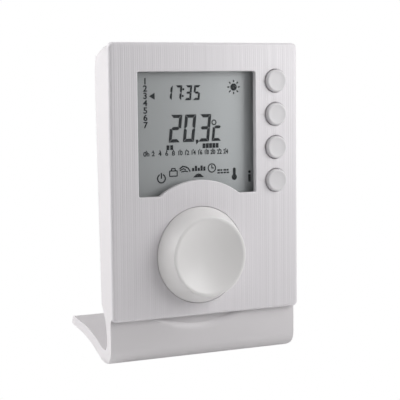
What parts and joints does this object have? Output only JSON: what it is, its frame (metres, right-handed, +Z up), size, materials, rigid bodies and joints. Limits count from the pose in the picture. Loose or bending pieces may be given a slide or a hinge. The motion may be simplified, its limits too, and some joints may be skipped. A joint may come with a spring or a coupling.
{
  "type": "room thermostat",
  "caption": "Programmable room thermostat with a display, a large dial and a column of round buttons, hung on a table stand that it tilts forward off.",
  "frame": {"origin": "middle of the bounding box's bottom, on the table under the stand", "axes": "+X to the viewer's right, -Y towards the viewer, +Z up"},
  "size_m": [0.08, 0.0538, 0.1155],
  "materials": {
    "stand_plastic": "satin moulded off-white",
    "cover_plastic": "fine vertical ribs, satin gloss, off-white",
    "clear_lens": "clear polished acrylic",
    "black_tape": "adhesive tape",
    "lcd_glass": "polarised display glass",
    "reflector_film": "grey-green reflector sheet",
    "frame_plastic": "moulded white",
    "contact_rubber": "layered contact rubber",
    "board_laminate": "green solder mask",
    "chip_resin": "moulded resin",
    "shield_steel": "tinned",
    "antenna_wire": "bare wire",
    "capacitor_sleeve": "shrink sleeve",
    "sensor_bead": "resin bead",
    "switch_plastic": "moulded",
    "dial_plastic": "polished, slightly milky white",
    "shaft_metal": "turned",
    "screw_steel": "zinc plated",
    "housing_plastic": "fine spark-eroded texture, off-white",
    "cell_case": "printed label on steel can",
    "contact_metal": "nickel plated spring steel",
    "button_plastic": "satin white"
  },
  "bodies": {
    "stand": {"stand": "stand_plastic"},
    "thermostat": {"front_cover": "cover_plastic", "display_window": "clear_lens", "window_tape": "black_tape", "lcd_front_glass": "lcd_glass", "lcd_rear_glass": "lcd_glass", "lcd_reflector": "reflector_film", "lcd_frame": "frame_plastic", "zebra_strip": "contact_rubber", "main_board": "board_laminate", "microcontroller": "chip_resin", "radio_module": "shield_steel", "antenna": "antenna_wire", "crystal": "shield_steel", "capacitors": "capacitor_sleeve", "resistors": "chip_resin", "temperature_sensor": "sensor_bead", "switch_bodies": "switch_plastic", "encoder_body": "switch_plastic", "board_screws": "screw_steel", "rear_housing": "housing_plastic", "cell_upper": "cell_case", "cell_lower": "cell_case", "cell_springs": "contact_metal", "cell_contacts": "contact_metal"},
    "dial": {"dial": "dial_plastic", "encoder_shaft": "shaft_metal"},
    "button_1": {"button_1": "button_plastic", "switch_plunger_1": "switch_plastic"},
    "button_2": {"button_2": "button_plastic", "switch_plunger_2": "switch_plastic"},
    "button_3": {"button_3": "button_plastic", "switch_plunger_3": "switch_plastic"},
    "button_4": {"button_4": "button_plastic", "switch_plunger_4": "switch_plastic"}
  },
  "joints": [
    {"name": "tilt_off_stand", "type": "hinge", "parent": "stand", "child": "thermostat", "pos_m": [0, 0.01556, 0.11111], "axis": [-1, 0, 0], "range_deg": [0, 25]},
    {"name": "dial_turn", "type": "hinge", "parent": "thermostat", "child": "dial", "pos_m": [-0.003, -0.01455, 0.04066], "axis": [0, -0.9397, 0.342], "continuous": true},
    {"name": "press_button_1", "type": "slide", "parent": "thermostat", "child": "button_1", "axis": [0, 0.9397, -0.342], "range_m": [0, 0.0005], "stiffness_N_per_m": 1500, "springref_m": -0.0003},
    {"name": "press_button_2", "type": "slide", "parent": "thermostat", "child": "button_2", "axis": [0, 0.9397, -0.342], "range_m": [0, 0.0005], "stiffness_N_per_m": 1500, "springref_m": -0.0003},
    {"name": "press_button_3", "type": "slide", "parent": "thermostat", "child": "button_3", "axis": [0, 0.9397, -0.342], "range_m": [0, 0.0005], "stiffness_N_per_m": 1500, "springref_m": -0.0003},
    {"name": "press_button_4", "type": "slide", "parent": "thermostat", "child": "button_4", "axis": [0, 0.9397, -0.342], "range_m": [0, 0.0005], "stiffness_N_per_m": 1500, "springref_m": -0.0003}
  ]
}
